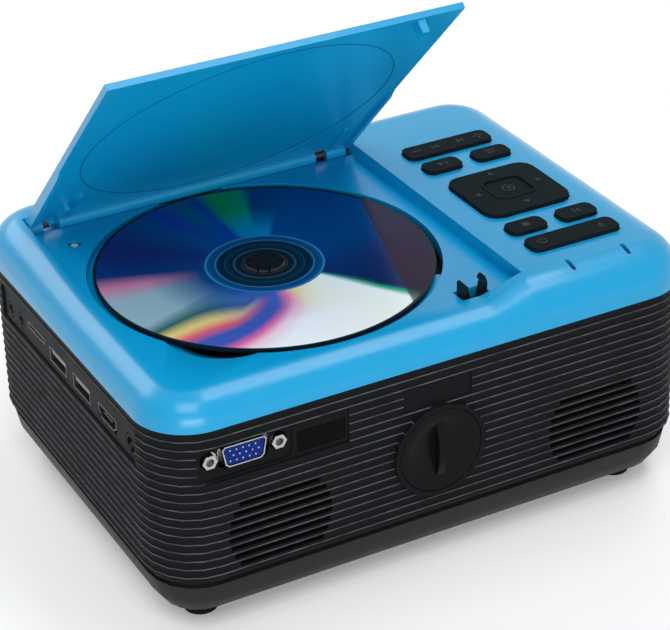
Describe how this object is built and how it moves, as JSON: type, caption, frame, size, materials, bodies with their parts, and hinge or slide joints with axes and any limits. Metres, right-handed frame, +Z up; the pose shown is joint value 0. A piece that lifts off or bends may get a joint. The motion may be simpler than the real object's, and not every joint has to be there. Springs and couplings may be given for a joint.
{
  "type": "video projector with a built-in disc player",
  "caption": "Box-shaped home projector with rounded edges, a ribbed side band, a flip-up lid over a top-loading disc well, a raised key panel, ports and a keystone dial.",
  "frame": {"origin": "centre of the body's footprint, on the table surface under the feet", "axes": "+X along the long side towards the key panel end, +Y towards the lens and the lid hinge, +Z up"},
  "size_m": [0.209, 0.163, 0.1827],
  "materials": {
    "blue_gloss": "glossy",
    "black_plastic": "satin",
    "key_plastic": "matt",
    "disc_mirror": "mirror with a fine radial sheen",
    "steel": "satin",
    "bright_metal": "bright",
    "aluminium": "satin",
    "rubber": "matt",
    "board_green": "semi-gloss",
    "lens_glass": "clear coated",
    "dark_window": "glossy, dark red tint",
    "light_pipe": "glossy, deep blue",
    "socket_blue": "satin",
    "white_plastic": "satin",
    "grey_plastic": "satin",
    "paper_cone": "matt"
  },
  "bodies": {
    "housing": {"top_cover": "blue_gloss", "side_band": "black_plastic", "bottom_cover": "black_plastic", "port_panel": "black_plastic", "feet": "rubber", "latch_body": "black_plastic", "led_pipes": "light_pipe", "vga_shell": "bright_metal", "vga_insert": "socket_blue", "vga_jackscrews": "bright_metal", "ir_window": "dark_window", "audio_jacks": "black_plastic", "card_socket": "bright_metal", "usb_sockets": "bright_metal", "hdmi_socket": "bright_metal", "dc_jack": "black_plastic", "hinge_pins": "steel", "lid_spring": "steel", "lid_switch": "black_plastic", "drive_chassis": "black_plastic", "spindle_motor": "steel", "guide_rods": "steel", "sled_motor": "steel", "key_mat": "rubber", "key_board": "board_green", "main_board": "board_green", "engine_housing": "black_plastic", "lamp_heatsink": "aluminium", "condenser_lens": "lens_glass", "speakers": "paper_cone", "fan_frame": "black_plastic"},
    "lid": {"lid": "blue_gloss"},
    "spinner": {"disc": "disc_mirror", "turntable": "black_plastic"},
    "latch_plunger": {"latch_plunger": "black_plastic"},
    "latch_jaw_left": {"latch_jaw_left": "black_plastic"},
    "latch_jaw_right": {"latch_jaw_right": "black_plastic"},
    "sled": {"pickup_sled": "grey_plastic"},
    "objective": {"objective_lens": "lens_glass"},
    "lead_screw": {"lead_screw": "steel"},
    "switch_pin": {"lid_switch_pin": "white_plastic"},
    "dial": {"keystone_dial": "black_plastic", "keystone_shaft": "steel"},
    "lcd_tilt": {"lcd_frame": "black_plastic", "lcd_panel": "dark_window"},
    "focus_ring": {"focus_ring": "black_plastic"},
    "lens": {"lens_barrel": "black_plastic", "lens_elements": "lens_glass"},
    "fan_rotor": {"fan_rotor": "black_plastic"},
    "key_top_bar": {"key_top_bar": "key_plastic"},
    "key_top_left": {"key_top_left": "key_plastic"},
    "key_top_right": {"key_top_right": "key_plastic"},
    "key_bottom_left": {"key_bottom_left": "key_plastic"},
    "key_bottom_right": {"key_bottom_right": "key_plastic"},
    "key_bottom_bar": {"key_bottom_bar": "key_plastic"},
    "ok_key": {"ok_key": "key_plastic"},
    "dpad": {"dpad": "key_plastic"}
  },
  "joints": [
    {"name": "lid_hinge", "type": "hinge", "parent": "housing", "child": "lid", "pos_m": [-0.0267, 0.059, 0.0938], "axis": [1, 0, 0], "range_deg": [0, 45.7], "stiffness_Nm_per_rad": 0.015, "springref_deg": -114.59},
    {"name": "disc_spin", "type": "hinge", "parent": "housing", "child": "spinner", "pos_m": [-0.029, -0.0051, 0.0911], "axis": [0, 0, 1], "continuous": true},
    {"name": "latch_plunger_slide", "type": "slide", "parent": "housing", "child": "latch_plunger", "axis": [0, 0, 1], "range_m": [-0.006, 0], "stiffness_N_per_m": 150, "springref_m": 0.003},
    {"name": "latch_jaw_left_tilt", "type": "hinge", "parent": "latch_plunger", "child": "latch_jaw_left", "pos_m": [0.01915, -0.0605, 0.0865], "axis": [0, 1, 0], "range_deg": [0, 4]},
    {"name": "latch_jaw_right_tilt", "type": "hinge", "parent": "latch_plunger", "child": "latch_jaw_right", "pos_m": [0.02475, -0.0605, 0.0865], "axis": [0, 1, 0], "range_deg": [-4, 0]},
    {"name": "sled_slide", "type": "slide", "parent": "housing", "child": "sled", "axis": [1, 0, 0], "range_m": [0, 0.034]},
    {"name": "objective_focus", "type": "slide", "parent": "sled", "child": "objective", "axis": [0, 0, 1], "range_m": [-0.0004, 0.0004], "stiffness_N_per_m": 30},
    {"name": "lead_screw_spin", "type": "hinge", "parent": "housing", "child": "lead_screw", "pos_m": [0.012, -0.0311, 0.0806], "axis": [1, 0, 0], "range_deg": [0, 4090]},
    {"name": "lid_switch_press", "type": "slide", "parent": "housing", "child": "switch_pin", "axis": [0, 0, 1], "range_m": [-0.001, 0], "stiffness_N_per_m": 60, "springref_m": 0.0005},
    {"name": "dpad_tilt", "type": "hinge", "parent": "housing", "child": "dpad", "pos_m": [0.0679, -0.0104, 0.0942], "axis": [1, 0, 0], "range_deg": [-2.2, 2.2], "stiffness_Nm_per_rad": 0.08},
    {"name": "keystone_dial_turn", "type": "hinge", "parent": "housing", "child": "dial", "pos_m": [-0.0017, -0.078, 0.0473], "axis": [0, 1, 0], "range_deg": [-45, 45]},
    {"name": "lcd_tilt_hinge", "type": "hinge", "parent": "housing", "child": "lcd_tilt", "pos_m": [0.034, 0.014, 0.0455], "axis": [1, 0, 0], "range_deg": [-6, 6]},
    {"name": "focus_turn", "type": "hinge", "parent": "housing", "child": "focus_ring", "pos_m": [0.034, 0.0775, 0.0455], "axis": [0, 1, 0], "range_deg": [-40, 40]},
    {"name": "lens_travel", "type": "slide", "parent": "housing", "child": "lens", "axis": [0, 1, 0], "range_m": [-0.003, 0.003]},
    {"name": "fan_spin", "type": "hinge", "parent": "housing", "child": "fan_rotor", "pos_m": [0.0961, 0, 0.0493], "axis": [1, 0, 0], "continuous": true},
    {"name": "key_top_bar_press", "type": "slide", "parent": "housing", "child": "key_top_bar", "axis": [0, 0, 1], "range_m": [-0.0007, 0], "stiffness_N_per_m": 300, "springref_m": 0.0003},
    {"name": "key_top_left_press", "type": "slide", "parent": "housing", "child": "key_top_left", "axis": [0, 0, 1], "range_m": [-0.0007, 0], "stiffness_N_per_m": 300, "springref_m": 0.0003},
    {"name": "key_top_right_press", "type": "slide", "parent": "housing", "child": "key_top_right", "axis": [0, 0, 1], "range_m": [-0.0007, 0], "stiffness_N_per_m": 300, "springref_m": 0.0003},
    {"name": "key_bottom_left_press", "type": "slide", "parent": "housing", "child": "key_bottom_left", "axis": [0, 0, 1], "range_m": [-0.0007, 0], "stiffness_N_per_m": 300, "springref_m": 0.0003},
    {"name": "key_bottom_right_press", "type": "slide", "parent": "housing", "child": "key_bottom_right", "axis": [0, 0, 1], "range_m": [-0.0007, 0], "stiffness_N_per_m": 300, "springref_m": 0.0003},
    {"name": "key_bottom_bar_press", "type": "slide", "parent": "housing", "child": "key_bottom_bar", "axis": [0, 0, 1], "range_m": [-0.0007, 0], "stiffness_N_per_m": 300, "springref_m": 0.0003},
    {"name": "ok_key_press", "type": "slide", "parent": "housing", "child": "ok_key", "axis": [0, 0, 1], "range_m": [-0.0007, 0], "stiffness_N_per_m": 300, "springref_m": 0.0003}
  ],
  "couplings": [
    {"joint": "latch_plunger_slide", "follows": "lid_hinge", "m_per_rad": -0.00752},
    {"joint": "latch_jaw_left_tilt", "follows": "lid_hinge", "ratio": 0.0875},
    {"joint": "latch_jaw_right_tilt", "follows": "lid_hinge", "ratio": -0.0875},
    {"joint": "lid_switch_press", "follows": "lid_hinge", "m_per_rad": -0.00125},
    {"joint": "lead_screw_spin", "follows": "sled_slide", "rad_per_m": 2094.4},
    {"joint": "lcd_tilt_hinge", "follows": "keystone_dial_turn", "ratio": 0.1327},
    {"joint": "focus_turn", "follows": "lens_travel", "rad_per_m": 232.71}
  ]
}
